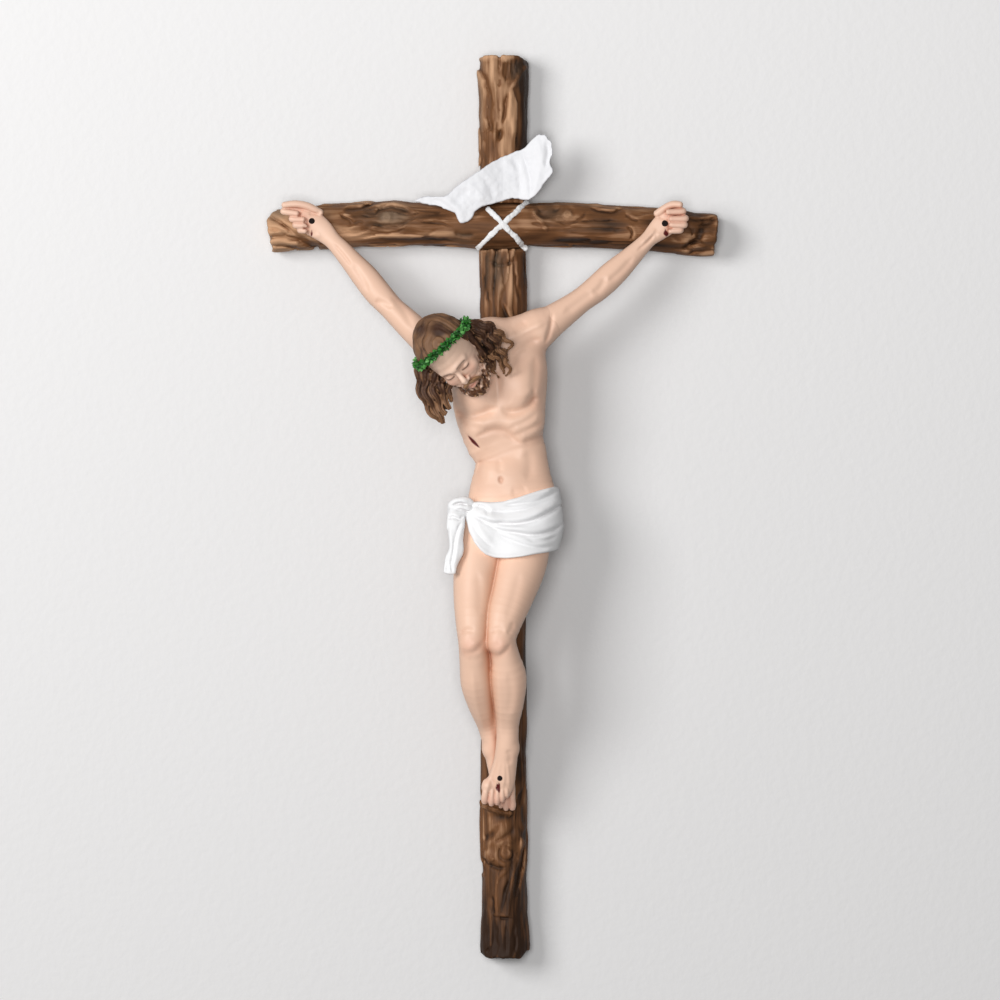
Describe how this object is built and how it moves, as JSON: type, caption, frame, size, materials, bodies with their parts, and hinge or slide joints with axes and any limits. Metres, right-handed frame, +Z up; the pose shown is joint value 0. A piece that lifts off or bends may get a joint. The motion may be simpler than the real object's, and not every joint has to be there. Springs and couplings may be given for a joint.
{
  "type": "wall crucifix",
  "caption": "Wall crucifix: a rough half-lapped log cross with a painted hanging figure, title scroll, lashing, nails and a swinging hanger ring at the back.",
  "frame": {"origin": "on the flat back of the upright, behind the middle of the crossing", "axes": "+X to the viewer's right along the cross-beam, +Y back into the wall, +Z up the upright"},
  "size_m": [0.2545, 0.0942, 0.508],
  "materials": {
    "painted_skin": "hand-painted resin, matt flesh",
    "timber": "cast resin carved and painted as rough brown timber",
    "painted_cloth": "matt white painted resin",
    "painted_hair": "dark brown painted resin",
    "painted_leaf": "green painted resin",
    "dark_iron": "near-black paint",
    "steel": "zinc-plated steel",
    "dowel": "plain beech",
    "cord": "off-white cord"
  },
  "bodies": {
    "cross": {"upright_beam": "timber", "cross_beam": "timber", "lap_screws": "steel", "lashing_under": "cord", "lashing_over": "cord", "title_scroll": "painted_cloth", "body": "painted_skin", "right_arm": "painted_skin", "left_arm": "painted_skin", "shoulder_dowels": "dowel", "neck_dowel": "dowel", "head": "painted_skin", "hair": "painted_hair", "crown": "painted_leaf", "loincloth": "painted_cloth", "loincloth_knot": "painted_cloth", "hand_nails": "dark_iron", "foot_nail": "dark_iron", "hanger_strap": "steel", "hanger_screw": "steel"},
    "ring": {"hanger_ring": "steel"}
  },
  "joints": [
    {"name": "ring_swing", "type": "hinge", "parent": "cross", "child": "ring", "pos_m": [0, -0.003, 0.058], "axis": [-1, 0, 0], "range_deg": [0, 170]}
  ]
}
